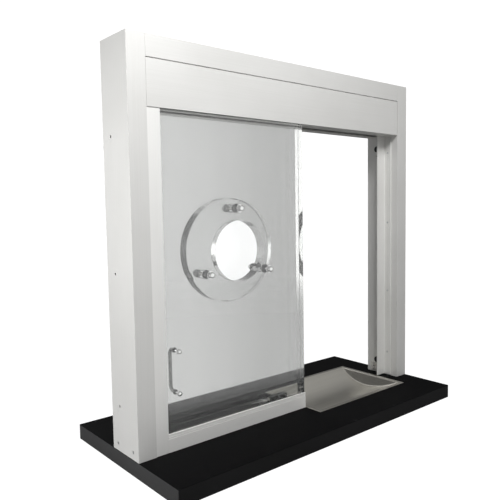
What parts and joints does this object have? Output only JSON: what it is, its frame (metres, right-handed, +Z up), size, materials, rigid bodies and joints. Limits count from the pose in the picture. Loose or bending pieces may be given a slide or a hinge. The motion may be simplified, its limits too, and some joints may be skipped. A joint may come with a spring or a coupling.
{
  "type": "sliding service window",
  "caption": "Aluminium-framed service window on a black countertop, with a fixed and a sliding acrylic lite, a speak hole with a baffle, a pull, a key lock and a sunken deal tray.",
  "frame": {"origin": "centre of the underside of the countertop", "axes": "+X along the window towards the closing jamb, +Y from the customer side to the staff side, +Z up"},
  "size_m": [1, 0.5, 1.005],
  "materials": {
    "satin_aluminium": "satin clear anodised",
    "black_laminate": "matte black laminate",
    "board_core": "raw particle board",
    "stainless_tray": "brushed stainless steel",
    "clear_acrylic": "polished clear acrylic",
    "smoke_acrylic": "polished light grey acrylic",
    "chrome": "polished chrome",
    "zinc_steel": "zinc-plated steel",
    "black_rubber": "black rubber",
    "nylon": "natural nylon",
    "black_lock": "black satin paint",
    "bright_nickel": "bright nickel plate"
  },
  "bodies": {
    "frame": {"countertop_core": "board_core", "countertop_laminate": "black_laminate", "front_edge_band": "black_laminate", "back_edge_band": "black_laminate", "left_edge_band": "black_laminate", "right_edge_band": "black_laminate", "deal_tray": "stainless_tray", "left_jamb": "satin_aluminium", "right_jamb": "satin_aluminium", "jamb_top_caps": "satin_aluminium", "jamb_foot_cleats": "zinc_steel", "cleat_screws": "zinc_steel", "header_beam": "satin_aluminium", "header_cover": "satin_aluminium", "cover_clips": "zinc_steel", "header_back_panel": "satin_aluminium", "soffit_front": "satin_aluminium", "soffit_rear": "satin_aluminium", "top_track": "satin_aluminium", "track_end_stops": "black_rubber", "track_screws": "zinc_steel", "left_stile": "satin_aluminium", "bottom_rail": "satin_aluminium", "setting_blocks": "black_rubber", "glazing_gaskets": "black_rubber", "top_glazing_channel": "satin_aluminium", "channel_hangers": "zinc_steel", "fixed_lite": "clear_acrylic", "bottom_guide_channel": "satin_aluminium", "guide_liners": "nylon", "right_stop_angle": "satin_aluminium", "stop_screws": "zinc_steel", "closing_bumpers": "black_rubber", "strike_plate": "bright_nickel", "strike_screws": "zinc_steel"},
    "sash": {"sliding_lite": "smoke_acrylic", "baffle_disc": "clear_acrylic", "baffle_spacers": "clear_acrylic", "baffle_studs": "chrome", "baffle_washers": "chrome", "baffle_cap_nuts": "chrome", "pull_handle": "chrome", "handle_cap_nuts": "chrome", "hanger_brackets": "zinc_steel", "bracket_bolts": "zinc_steel", "hanger_studs": "zinc_steel", "trolleys": "zinc_steel", "axle_pins": "zinc_steel", "lock_case": "black_lock", "lock_screws": "zinc_steel"},
    "lock_bolt": {"lock_bolt": "bright_nickel"},
    "key": {"lock_plug": "bright_nickel", "key": "bright_nickel"},
    "spare_key": {"key_ring": "bright_nickel", "spare_key": "bright_nickel"},
    "roller_1": {"rollers_1": "nylon"},
    "roller_2": {"rollers_2": "nylon"},
    "roller_3": {"rollers_3": "nylon"},
    "roller_4": {"rollers_4": "nylon"}
  },
  "joints": [
    {"name": "sash_slide", "type": "slide", "parent": "frame", "child": "sash", "axis": [1, 0, 0], "range_m": [0, 0.3982]},
    {"name": "roller_1_spin", "type": "hinge", "parent": "sash", "child": "roller_1", "pos_m": [-0.36, -0.009, 0.93], "axis": [0, 1, 0], "range_deg": [0, 1680]},
    {"name": "roller_2_spin", "type": "hinge", "parent": "sash", "child": "roller_2", "pos_m": [-0.32, -0.009, 0.93], "axis": [0, 1, 0], "range_deg": [0, 1680]},
    {"name": "roller_3_spin", "type": "hinge", "parent": "sash", "child": "roller_3", "pos_m": [-0.0455, -0.009, 0.93], "axis": [0, 1, 0], "range_deg": [0, 1680]},
    {"name": "roller_4_spin", "type": "hinge", "parent": "sash", "child": "roller_4", "pos_m": [-0.0055, -0.009, 0.93], "axis": [0, 1, 0], "range_deg": [0, 1680]},
    {"name": "key_turn", "type": "hinge", "parent": "sash", "child": "key", "pos_m": [-0.053, 0.017, 0.066], "axis": [1, 0, 0], "range_deg": [0, 90]},
    {"name": "bolt_throw", "type": "slide", "parent": "sash", "child": "lock_bolt", "axis": [1, 0, 0], "range_m": [0, 0.0165]},
    {"name": "spare_key_swing", "type": "hinge", "parent": "key", "child": "spare_key", "pos_m": [-0.076, 0.017, 0.066], "axis": [1, 0, 0], "range_deg": [0, 25]}
  ],
  "couplings": [
    {"joint": "roller_1_spin", "follows": "sash_slide", "rad_per_m": 71.429},
    {"joint": "roller_2_spin", "follows": "sash_slide", "rad_per_m": 71.429},
    {"joint": "roller_3_spin", "follows": "sash_slide", "rad_per_m": 71.429},
    {"joint": "roller_4_spin", "follows": "sash_slide", "rad_per_m": 71.429},
    {"joint": "bolt_throw", "follows": "key_turn", "m_per_rad": 0.010185}
  ]
}
